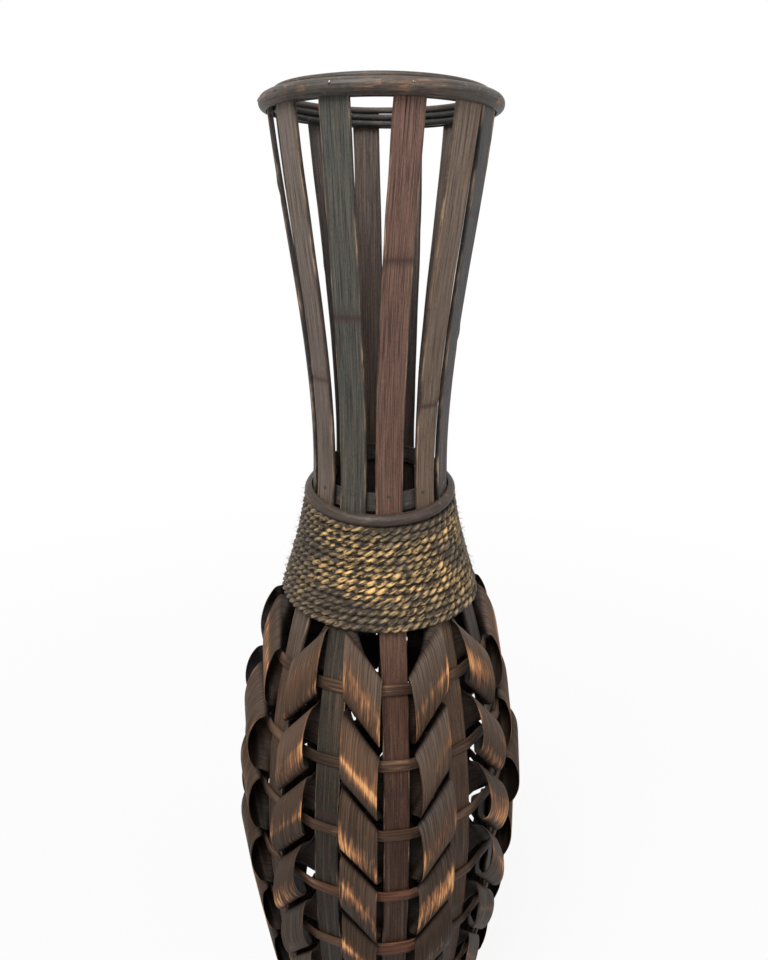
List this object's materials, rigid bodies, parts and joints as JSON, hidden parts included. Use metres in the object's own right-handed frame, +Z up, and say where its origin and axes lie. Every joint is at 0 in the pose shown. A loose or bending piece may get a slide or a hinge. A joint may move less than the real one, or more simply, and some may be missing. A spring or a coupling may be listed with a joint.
{
  "type": "bamboo floor vase",
  "caption": "Tall free-standing floor vase of bent bamboo slats, with an open flared neck, rope-bound waist and foot, and a belly woven with curled bamboo ribbon.",
  "frame": {"origin": "on the floor, at the middle of the foot", "axes": "+Z up along the vase's axis, -Y towards the viewer's side"},
  "size_m": [0.2208, 0.2194, 0.762],
  "materials": {
    "bamboo_slat": "stained, satin",
    "dark_cane": "stained, satin",
    "inner_band": "stained, matt",
    "weaver_strip": "stained, satin",
    "curl_ribbon": "stained, satin, with the stain rubbed through on the bends",
    "twisted_rope": "twisted seagrass",
    "nail_steel": "dull",
    "base_wood": "stained plywood"
  },
  "bodies": {
    "root": {"slat_01": "bamboo_slat", "slat_02": "bamboo_slat", "slat_03": "bamboo_slat", "slat_04": "bamboo_slat", "slat_05": "bamboo_slat", "slat_06": "bamboo_slat", "slat_07": "bamboo_slat", "slat_08": "bamboo_slat", "slat_09": "bamboo_slat", "slat_10": "bamboo_slat", "slat_11": "bamboo_slat", "slat_12": "bamboo_slat", "rim_strand_1": "dark_cane", "rim_strand_2": "dark_cane", "rim_strand_3": "dark_cane", "rim_outer_ring": "dark_cane", "collar_ring": "dark_cane", "base_outer_ring": "dark_cane", "waist_inner_hoop": "inner_band", "base_inner_hoop": "inner_band", "weaver_hoop_1": "weaver_strip", "weaver_hoop_2": "weaver_strip", "weaver_hoop_3": "weaver_strip", "weaver_hoop_4": "weaver_strip", "weaver_hoop_5": "weaver_strip", "weaver_hoop_6": "weaver_strip", "curl_ribbon_1": "curl_ribbon", "curl_ribbon_2": "curl_ribbon", "curl_ribbon_3": "curl_ribbon", "curl_ribbon_4": "curl_ribbon", "curl_ribbon_5": "curl_ribbon", "curl_ribbon_6": "curl_ribbon", "neck_rope": "twisted_rope", "base_rope": "twisted_rope", "rim_nails": "nail_steel", "waist_nails": "nail_steel", "base_nails": "nail_steel", "base_board": "base_wood"}
  },
  "joints": []
}
